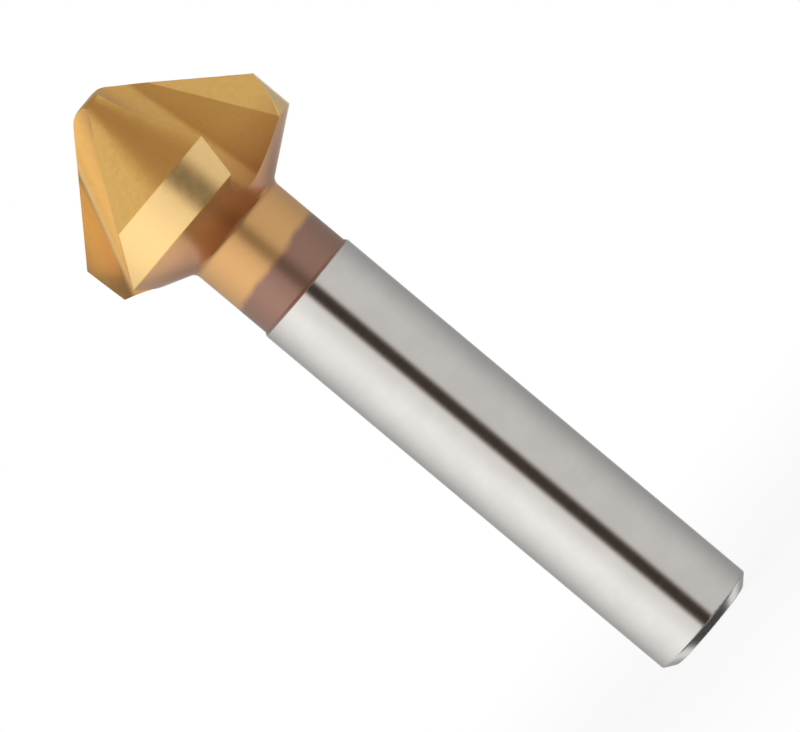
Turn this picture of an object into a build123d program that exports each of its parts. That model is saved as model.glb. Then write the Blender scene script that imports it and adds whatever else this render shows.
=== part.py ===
from build123d import *

from math import cos, radians, sin, tan
import os

# A three-flute countersink bit with a plain round shank, turned and ground
# from one bar. It stands on its shank end: the origin is the centre of that
# face, +Z runs along the tool's axis to the tip, and the viewer is at -Y.
# All sizes are in millimetres and degrees.

# Shank and neck
shank_diameter = 10.0
shank_length = 41.7
shank_end_chamfer_height = 0.7
shank_end_chamfer_depth = 0.95
shank_end_edge_radius = 0.3
neck_diameter = 9.57
neck_length = 7.15
neck_shoulder_length = 0.3
neck_fillet_radius = 0.7

# Head
head_diameter = 20.5
land_length = 3.7
point_angle = 90.0
back_cone_angle = 123.0
tip_flat_diameter = 3.14
tip_edge_radius = 2.0

# Flutes, each described at a cutting edge that lies in the +X half plane
flute_count = 3
first_edge_azimuth = -68.3
axial_rake = 13.0
flute_slope = 27.5
notch_angle = 54.0
gullet_depth = 6.95
root_radius = 2.4

# Flat ground on the heel of each tooth
wall_width = 8.6
ridge_fan = 18.4
heel_facet_angle = 27.0
heel_facet_overlap = 0.8
heel_facet_height = 3.0

# Radii and stations along the axis
shank_radius = shank_diameter / 2
neck_radius = neck_diameter / 2
head_radius = head_diameter / 2
tip_radius = tip_flat_diameter / 2
half_point = radians(point_angle / 2)
half_back = radians(back_cone_angle / 2)
neck_top = shank_length + neck_length
land_bottom = neck_top + (head_radius - neck_radius) / tan(half_back)
land_top = land_bottom + land_length
tip_top = land_top + (head_radius - tip_radius) / tan(half_point)

# Directions at the corner where the cone's cutting edge meets the land. The
# cutting face is the plane that holds both edges, and the flute runs in it.
corner = Vector(head_radius, 0, land_top)
cone_edge = Vector(-tan(half_point), 0, 1)
land_edge = Vector(0, tan(radians(axial_rake)), 1)
cone_share = tan(radians(flute_slope)) / tan(half_point)
flute_direction = (cone_edge * cone_share + land_edge * (1 - cone_share)).normalized()
face_normal = cone_edge.cross(land_edge).normalized()

# The notch's profile is square to the flute, with x down the cutting face
notch_plane = Plane(
    origin=corner,
    x_dir=flute_direction.cross(face_normal),
    z_dir=flute_direction,
)
wall_run = cos(radians(notch_angle))
wall_rise = sin(radians(notch_angle))
reach = head_diameter

# The heel facet leaves the flute's wall along a ridge that fans out from it
wall_direction = notch_plane.x_dir * -wall_run - notch_plane.y_dir * wall_rise
wall_normal = flute_direction.cross(wall_direction) * -1
ridge_point = corner + notch_plane.x_dir * gullet_depth + wall_direction * wall_width
ridge_direction = flute_direction.rotate(Axis((0, 0, 0), wall_normal), ridge_fan)
heel_normal = wall_normal.rotate(Axis((0, 0, 0), ridge_direction), heel_facet_angle)
heel_plane = Plane(origin=ridge_point, x_dir=ridge_direction, z_dir=heel_normal)

# One flute: a notch with a rounded root, and the flat that clears the heel
with BuildPart() as flute_cutter:
    with BuildSketch(notch_plane) as notch:
        with BuildLine():
            Polyline(
                (-reach, 0),
                (gullet_depth, 0),
                (gullet_depth - reach * wall_run, -reach * wall_rise),
                (-reach, -reach * wall_rise),
                close=True,
            )
        make_face()
        root_corner = notch.vertices().sort_by_distance((gullet_depth, 0))[0]
        fillet(root_corner, root_radius)
    extrude(amount=reach, both=True)
    with BuildSketch(heel_plane):
        with Locations((0, heel_facet_overlap)):
            Rectangle(2 * reach, reach / 2, align=(Align.CENTER, Align.MAX))
    extrude(amount=heel_facet_height)

# The whole tool: one turned profile, with the flutes cut from its head
with BuildPart() as countersink_bit:
    with BuildSketch(Plane.XZ) as profile:
        with BuildLine():
            Polyline(
                (0, 0),
                (shank_radius - shank_end_chamfer_depth, 0),
                (shank_radius, shank_end_chamfer_height),
                (shank_radius, shank_length - neck_shoulder_length),
                (neck_radius, shank_length),
                (neck_radius, neck_top),
                (head_radius, land_bottom),
                (head_radius, land_top),
                (tip_radius, tip_top),
                (0, tip_top),
                close=True,
            )
        make_face()
        for place, radius in (
            ((shank_radius - shank_end_chamfer_depth, 0), shank_end_edge_radius),
            ((shank_radius, shank_end_chamfer_height), shank_end_edge_radius),
            ((neck_radius, neck_top), neck_fillet_radius),
            ((tip_radius, tip_top), tip_edge_radius),
        ):
            fillet(profile.vertices().sort_by_distance(place)[0], radius)
    revolve(axis=Axis.Z)
    with PolarLocations(0, flute_count, start_angle=first_edge_azimuth):
        add(flute_cutter.part, mode=Mode.SUBTRACT)

countersink_bit.part.label = "countersink_bit"

os.makedirs("parts", exist_ok=True)
export_step(countersink_bit.part, "parts/countersink_bit.step")
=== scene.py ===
import math
from types import SimpleNamespace

import bmesh
import bpy
from mathutils import Matrix, Vector


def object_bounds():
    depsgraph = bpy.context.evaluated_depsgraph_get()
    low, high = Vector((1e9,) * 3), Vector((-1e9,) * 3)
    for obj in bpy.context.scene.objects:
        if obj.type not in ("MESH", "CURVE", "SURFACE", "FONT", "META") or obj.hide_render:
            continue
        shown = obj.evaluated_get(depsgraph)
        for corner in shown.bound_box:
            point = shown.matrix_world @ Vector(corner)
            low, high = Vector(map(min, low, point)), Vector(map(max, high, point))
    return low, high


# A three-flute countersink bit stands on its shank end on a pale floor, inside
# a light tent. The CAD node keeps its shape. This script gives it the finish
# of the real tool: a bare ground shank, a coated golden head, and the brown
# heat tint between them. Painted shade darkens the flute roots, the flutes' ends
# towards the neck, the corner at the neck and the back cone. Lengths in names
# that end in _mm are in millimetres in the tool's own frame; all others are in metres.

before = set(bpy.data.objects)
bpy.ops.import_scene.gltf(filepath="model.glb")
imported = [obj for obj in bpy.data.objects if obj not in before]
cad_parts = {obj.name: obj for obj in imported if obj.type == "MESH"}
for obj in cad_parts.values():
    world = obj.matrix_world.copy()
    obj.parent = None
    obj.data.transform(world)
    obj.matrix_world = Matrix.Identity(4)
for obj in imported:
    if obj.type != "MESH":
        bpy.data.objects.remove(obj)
cad_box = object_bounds()
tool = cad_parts["countersink_bit"]

MM = 0.001

# Stations along the tool's axis, and its radii
head_radius_mm = cad_box[1].y / MM
tip_mm = cad_box[1].z / MM
shank_top_mm = 41.7
neck_step_mm = 0.3
neck_top_mm = 48.85
land_bottom_mm = 51.82
land_top_mm = 55.52
back_cone_slope = math.tan(math.radians(61.5))

# The flute that faces the camera. The other two are copies of it, turned about
# the axis. The azimuth is that of the middle of the tooth beside it.
flute_count = 3
tooth_middle_azimuth = -98.0
flute_direction = Vector((-0.09, 0.525, 1.0)).normalized()
root_point_mm = Vector((-0.3, -4.7, 52.6))
edge_corner_mm = Vector((3.79, -9.52, 55.52))
face_normal = Vector((0.802, 0.555, -0.219)).normalized()

# The photograph's frame: its size, the place of the middle of the tool's axis
# in it, how far the tool leans to the left there, and its scale
photo_width = 800
photo_height = 732
axis_middle_px = Vector((398.0, 364.0))
lean = math.radians(50.05)
camera_elevation = math.radians(1.9)
pixels_per_mm = 12.7
camera_distance = 0.75
sensor_width = 36.0

# The light tent round the tool and the floor in it. A level is how bright a
# part of the tent looks, where 1 is white.
tent_radius = 1.5
floor_radius = 0.5
left_level = 1.36
right_level = 0.86
top_left_level = 0.82
top_right_level = 0.71
behind_level = 0.42
under_level = 1.05
front_low_level = 0.36
gap_level = 0.08


class Graph:
    """The nodes of a material or of the world, made and joined by short calls."""

    def __init__(self, owner):
        owner.use_nodes = True
        self.tree = owner.node_tree
        self.tree.nodes.clear()

    def node(self, kind, inputs=(), **settings):
        made = self.tree.nodes.new(kind)
        for name, value in settings.items():
            setattr(made, name, value)
        for key, value in dict(inputs).items():
            self.feed(made.inputs[key], value)
        return made

    def feed(self, socket, value):
        if isinstance(value, bpy.types.NodeSocket):
            self.tree.links.new(value, socket)
        else:
            socket.default_value = value

    def math(self, operation, *values):
        made = self.node("ShaderNodeMath", operation=operation)
        for socket, value in zip(made.inputs, values):
            self.feed(socket, value)
        return made.outputs[0]

    def times(self, *values):
        """The product of numbers."""
        product = values[0]
        for value in values[1:]:
            product = self.math("MULTIPLY", product, value)
        return product

    def vector(self, operation, a, b=(0.0, 0.0, 0.0)):
        made = self.node("ShaderNodeVectorMath", {0: a, 1: b}, operation=operation)
        return made.outputs["Vector"]

    def dot(self, a, b):
        made = self.node("ShaderNodeVectorMath", {0: a, 1: b}, operation="DOT_PRODUCT")
        return made.outputs["Value"]

    def length(self, vector):
        made = self.node("ShaderNodeVectorMath", {0: vector}, operation="LENGTH")
        return made.outputs["Value"]

    def split(self, vector):
        return self.node("ShaderNodeSeparateXYZ", {0: vector}).outputs

    def ramp(self, value, low, high, bottom=0.0, top=1.0):
        """A smooth step: bottom where value is under low, top where it is over high."""
        made = self.node(
            "ShaderNodeMapRange",
            {"Value": value, 1: low, 2: high, 3: bottom, 4: top},
            interpolation_type="SMOOTHSTEP",
        )
        return made.outputs[0]

    def fall(self, value, low, high):
        """A smooth step down: 1 where value is under low, 0 where it is over high."""
        return self.ramp(value, low, high, 1.0, 0.0)

    def mix(self, factor, a, b):
        """A colour that goes from a to b."""
        made = self.node("ShaderNodeMix", {0: factor, 6: a, 7: b}, data_type="RGBA")
        return made.outputs[2]

    def blend(self, factor, a, b):
        """A number that goes from a to b."""
        made = self.node("ShaderNodeMix", {0: factor, 2: a, 3: b}, data_type="FLOAT")
        return made.outputs[0]

    def less_along(self, vector, direction, share=1.0):
        """A vector without that share of its part along a direction."""
        part = self.node(
            "ShaderNodeVectorMath",
            {0: tuple(direction * -share), "Scale": self.dot(vector, tuple(direction))},
            operation="SCALE",
        )
        return self.vector("ADD", vector, part.outputs["Vector"])

    def noise(self, vector, scale, detail=2.0, roughness=0.5):
        """Noise from 0 to 1 around 0.5."""
        made = self.node(
            "ShaderNodeTexNoise",
            {"Vector": vector, "Scale": scale, "Detail": detail, "Roughness": roughness},
        )
        return made.outputs[0]


def linear(red, green, blue):
    """A colour given as it looks on a screen, from 0 to 255, as linear light."""
    shares = [value / 255 for value in (red, green, blue)]
    light = [s / 12.92 if s <= 0.04045 else ((s + 0.055) / 1.055) ** 2.4 for s in shares]
    return (*light, 1.0)


white = (1.0, 1.0, 1.0, 1.0)
dark_room = (1.0, 0.73, 0.60, 1.0)
floor_grey = (0.85, 0.85, 0.85, 1.0)
steel = linear(206, 203, 199)
dull_steel = linear(202, 199, 195)
pale_gold = linear(236, 199, 136)
gold = linear(235, 189, 108)
deep_gold = linear(231, 182, 97)
amber = linear(209, 162, 106)
# The back cone's amber: heat tint, made darker as painted shade under the head
back_tint_and_shade = linear(204, 150, 92)
# Painted shade: the brown that darkens the flute roots and the flutes' ends towards the neck
root_painted_shade = linear(176, 118, 64)
# Painted shade: dark brown for the corner where the neck meets the back cone
corner_painted_shade = linear(150, 92, 55)
purple_brown = linear(146, 112, 97)
groove_brown = linear(70, 62, 55)


def flute_surface(g, radius, z):
    """1 where the surface lies inside the turned head, which only the flutes' does."""
    cone = g.math("SUBTRACT", land_top_mm + head_radius_mm, z)
    above_land_bottom = g.math("SUBTRACT", z, land_bottom_mm)
    back = g.math("MULTIPLY_ADD", above_land_bottom, back_cone_slope, head_radius_mm)
    turned = g.math("MINIMUM", g.math("MINIMUM", cone, back), head_radius_mm)
    below_turned = g.math("SUBTRACT", turned, radius)
    over_neck = g.ramp(z, neck_top_mm + 0.6, neck_top_mm + 0.8)
    return g.times(g.ramp(below_turned, 0.04, 0.10), over_neck)


def fold_flutes(g, x, y, z, radius):
    """The place turned to the flute that faces the camera, so that one serves for all."""
    start = math.radians(tooth_middle_azimuth)
    sector = math.radians(360 / flute_count)
    past_start = g.math("SUBTRACT", g.math("ARCTAN2", y, x), start)
    azimuth = g.math("ADD", g.math("FLOORED_MODULO", past_start, sector), start)
    folded = g.node(
        "ShaderNodeCombineXYZ",
        {
            0: g.times(radius, g.math("COSINE", azimuth)),
            1: g.times(radius, g.math("SINE", azimuth)),
            2: z,
        },
    )
    return folded.outputs[0]


def tool_zones(g):
    """How much a place on the tool belongs to each zone, and the patterns on it."""
    place = g.node("ShaderNodeTexCoord").outputs["Object"]
    place_mm = g.vector("MULTIPLY", place, (1 / MM,) * 3)
    x, y, z = g.split(place_mm)
    radius = g.math("SQRT", g.math("ADD", g.times(x, x), g.times(y, y)))

    flute = flute_surface(g, radius, z)
    turned = g.math("SUBTRACT", 1.0, flute)
    flute_place = fold_flutes(g, x, y, z, radius)

    # The cutting face, and how near the line of the flute's root a place lies
    over_face = g.dot(g.vector("SUBTRACT", flute_place, tuple(edge_corner_mm)), tuple(face_normal))
    face = g.times(flute, g.fall(g.math("ABSOLUTE", over_face), 0.04, 0.12))
    from_root = g.vector("SUBTRACT", flute_place, tuple(root_point_mm))
    root_distance = g.length(g.less_along(from_root, flute_direction))

    # Grinding marks: rings round the turned surfaces, lines along the flutes
    rings = g.noise(g.vector("MULTIPLY", place_mm, (0.35, 0.35, 9.0)), 1.0, 4.0, 0.65)
    fine_rings = g.noise(g.vector("MULTIPLY", place_mm, (0.8, 0.8, 30.0)), 1.0, 2.0, 0.6)
    lines = g.noise(g.less_along(flute_place, flute_direction, 0.97), 7.0, 4.0, 0.65)
    cloud = g.noise(place_mm, 0.28, 3.0, 0.55)

    # The heat tint's edge wanders a little and slants across the neck
    wander = g.math("ADD", g.math("SUBTRACT", cloud, 0.5), z)
    slant = g.math("MULTIPLY_ADD", x, -0.09, wander)
    coat_start = shank_top_mm - neck_step_mm

    return SimpleNamespace(
        flute=flute,
        face=face,
        # Painted shade goes where the next two masks are: the flute roots and the flutes' ends
        # towards the neck
        root=g.times(flute, g.fall(root_distance, 0.5, 6.0)),
        low_end=g.times(flute, g.fall(z, 50.0, 55.0)),
        land=g.times(
            turned,
            g.ramp(z, land_bottom_mm, land_bottom_mm + 0.1),
            g.fall(z, land_top_mm - 0.1, land_top_mm),
        ),
        # The back cone under the head, darkened with painted shade as well as heat tint
        back_cone=g.times(turned, g.fall(z, land_bottom_mm - 0.1, land_bottom_mm)),
        # Painted shade in the corner where the neck meets the back cone
        corner=g.times(
            g.ramp(z, neck_top_mm - 0.5, neck_top_mm + 0.3),
            g.fall(z, neck_top_mm + 0.4, land_bottom_mm),
        ),
        neck=g.fall(z, neck_top_mm - 0.4, neck_top_mm + 0.4),
        tint=g.fall(slant, 44.4, 45.2),
        fringe=g.fall(slant, 44.6, 46.4),
        bare=g.fall(z, coat_start, coat_start + 0.12),
        marks=g.blend(flute, g.blend(0.5, rings, fine_rings), lines),
        mottle=g.noise(place_mm, 1.6, 4.0, 0.6),
        cloud=cloud,
    )


def tool_colour(g, zones):
    """Gold that turns to amber and brown where the coating was hot, and bare steel. Painted shade
    darkens the flute roots, the flutes' ends towards the neck, the corner at the neck and the back
    cone.
    """
    coat = g.mix(g.ramp(zones.mottle, 0.30, 0.75), gold, deep_gold)
    for share, tone in (
        (zones.land, pale_gold),
        (zones.face, pale_gold),
        # Heat-tint amber with painted shade under the head
        (zones.back_cone, back_tint_and_shade),
        (g.math("MAXIMUM", zones.neck, g.times(zones.fringe, 0.8)), amber),
        # Painted shade in the corner at the neck
        (g.times(zones.corner, 0.75), corner_painted_shade),
        # Painted shade in the flute roots and, on the next line, at the flutes' ends towards the
        # neck
        (g.times(zones.root, 0.6), root_painted_shade),
        (g.times(zones.low_end, 0.65), root_painted_shade),
        (zones.tint, purple_brown),
    ):
        coat = g.mix(share, coat, tone)
    shank = g.mix(g.ramp(zones.cloud, 0.35, 0.65), steel, dull_steel)
    colour = g.mix(zones.bare, coat, shank)
    return g.mix(g.ramp(zones.marks, 0.25, 0.75, 0.95, 1.0), groove_brown, colour)


def tool_roughness(g, zones):
    """The coating is duller than the ground steel, and dullest on the neck."""
    coat = g.blend(zones.neck, g.ramp(zones.mottle, 0.3, 0.7, 0.20, 0.25), 0.32)
    shank = g.ramp(zones.marks, 0.3, 0.7, 0.13, 0.18)
    return g.blend(zones.bare, coat, shank)


def finish_tool():
    """Bare ground steel on the shank, the coating's gold on the head, and heat tint on the neck."""
    material = bpy.data.materials.new("tool_steel")
    g = Graph(material)
    zones = tool_zones(g)
    coat_metal = g.blend(zones.flute, g.blend(zones.neck, 0.82, 0.75), 0.65)
    soft_edge = g.node("ShaderNodeBevel", {"Radius": 0.06 * MM}, samples=4)
    ground = g.node(
        "ShaderNodeBump",
        {
            "Height": zones.marks,
            "Distance": 0.003 * MM,
            "Strength": 0.5,
            "Normal": soft_edge.outputs[0],
        },
    )
    shader = g.node(
        "ShaderNodeBsdfPrincipled",
        {
            "Base Color": tool_colour(g, zones),
            "Metallic": g.blend(zones.bare, coat_metal, 1.0),
            "Roughness": tool_roughness(g, zones),
            "Normal": ground.outputs[0],
        },
    )
    g.node("ShaderNodeOutputMaterial", {"Surface": shader.outputs[0]})
    tool.data.materials[0] = material


def make_floor():
    """A pale round floor that keeps the tool's shadow and fades into the white behind it."""
    mesh = bpy.data.meshes.new("floor")
    steps = 96
    turn = 2 * math.pi / steps
    rim = [
        (floor_radius * math.cos(i * turn), floor_radius * math.sin(i * turn), 0.0)
        for i in range(steps)
    ]
    mesh.from_pydata(rim, [], [tuple(range(steps))])
    floor = bpy.data.objects.new("floor", mesh)
    bpy.context.scene.collection.objects.link(floor)
    floor.visible_glossy = False
    floor.visible_shadow = False

    material = bpy.data.materials.new("floor")
    g = Graph(material)
    distance = g.length(g.node("ShaderNodeTexCoord").outputs["Object"])
    glow = g.ramp(distance, 0.01, 0.16, 0.88, 1.0)
    paint = g.node("ShaderNodeBsdfDiffuse", {"Color": floor_grey})
    shine = g.node("ShaderNodeEmission", {"Color": white, "Strength": 1.0})
    both = g.node("ShaderNodeMixShader", {0: glow, 1: paint.outputs[0], 2: shine.outputs[0]})
    g.node("ShaderNodeOutputMaterial", {"Surface": both.outputs[0]})
    mesh.materials.append(material)


def tent_walls(g, x, y, z):
    """How bright the tent is in each direction, its opening left out. It is brightest at the
    left and dimmer behind, overhead and low in front, with a dark gap under the tool."""
    azimuth_from_camera = g.math("DEGREES", g.math("ARCTAN2", x, g.times(y, -1.0)))
    right = g.ramp(azimuth_from_camera, 55.0, 160.0, right_level, behind_level)
    left = g.times(
        g.ramp(azimuth_from_camera, -175.0, -55.0, behind_level, left_level),
        g.ramp(azimuth_from_camera, -55.0, -15.0, 1.0, 0.8),
    )
    to_right = g.ramp(azimuth_from_camera, -4.0, 4.0)
    top = g.blend(to_right, top_left_level, top_right_level)
    level = g.blend(g.ramp(z, 0.35, 0.85), g.blend(to_right, left, right), top)

    under = g.times(g.fall(z, -0.72, -0.45), g.ramp(y, 0.1, 0.5))
    level = g.blend(under, level, under_level)
    front_low = g.times(g.fall(z, -0.85, -0.6), g.fall(y, -0.1, 0.25))
    level = g.blend(front_low, level, front_low_level)
    gap = g.times(g.ramp(y, -0.05, 0.15), g.fall(y, 0.45, 0.62), g.fall(z, -0.83, -0.72))
    return g.blend(gap, level, gap_level)


def make_tent():
    """A light tent all round the tool, white behind it and open towards the camera and
    overhead, where the dark room shows. The opening is less dark overhead."""
    mesh = bpy.data.meshes.new("tent")
    form = bmesh.new()
    bmesh.ops.create_uvsphere(form, u_segments=64, v_segments=32, radius=tent_radius)
    form.to_mesh(mesh)
    form.free()
    tent = bpy.data.objects.new("tent", mesh)
    bpy.context.scene.collection.objects.link(tent)
    tent.location = (0.0, 0.0, tip_mm / 2 * MM)
    tent.visible_camera = False
    tent.visible_shadow = False

    material = bpy.data.materials.new("tent")
    g = Graph(material)
    x, y, z = g.split(g.vector("NORMALIZE", g.node("ShaderNodeTexCoord").outputs["Object"]))
    aside = g.math("ABSOLUTE", g.math("SUBTRACT", x, 0.068))
    in_front = g.ramp(g.math("MULTIPLY_ADD", y, -1.4, z), -0.5, 0.0)
    opening = g.times(g.fall(aside, 0.13, 0.31), in_front)
    level = g.blend(opening, tent_walls(g, x, y, z), g.ramp(z, 0.15, 0.8, 0.05, 0.36))
    behind = g.times(g.ramp(y, 0.95, 0.98), g.ramp(z, -0.2, -0.1))
    level = g.blend(behind, level, 1.0)
    colour = g.mix(opening, white, dark_room)
    glow = g.node("ShaderNodeEmission", {"Color": colour, "Strength": level})
    g.node("ShaderNodeOutputMaterial", {"Surface": glow.outputs[0]})
    mesh.materials.append(material)


def make_world():
    """The plain white behind everything."""
    world = bpy.data.worlds.new("white")
    bpy.context.scene.world = world
    g = Graph(world)
    sky = g.node("ShaderNodeBackground", {"Color": white, "Strength": 1.0})
    g.node("ShaderNodeOutputWorld", {"Surface": sky.outputs[0]})


def make_camera():
    """Looks along +Y and a little down with a long lens, rolled so that the tool leans to
    the left as in the photograph."""
    data = bpy.data.cameras.new("camera")
    camera = bpy.data.objects.new("camera", data)
    bpy.context.scene.collection.objects.link(camera)
    bpy.context.scene.camera = camera
    level_right = Vector((1.0, 0.0, 0.0))
    level_up = Vector((0.0, math.sin(camera_elevation), math.cos(camera_elevation)))
    right = level_right * math.cos(lean) - level_up * math.sin(lean)
    up = level_right * math.sin(lean) + level_up * math.cos(lean)
    back = level_right.cross(level_up)
    metres_per_pixel = MM / pixels_per_mm
    off = (Vector((photo_width / 2, photo_height / 2)) - axis_middle_px) * metres_per_pixel
    middle = Vector((0.0, 0.0, tip_mm / 2 * MM))
    place = middle + right * off.x - up * off.y + back * camera_distance
    turn = Matrix((right, up, back)).transposed().to_4x4()
    camera.matrix_world = Matrix.Translation(place) @ turn
    data.sensor_width = sensor_width
    data.lens = sensor_width * camera_distance / (photo_width * metres_per_pixel)
    data.clip_start = 0.05
    data.clip_end = 50.0


finish_tool()
make_floor()
make_tent()
make_world()
make_camera()
bpy.context.scene.view_settings.view_transform = "Standard"
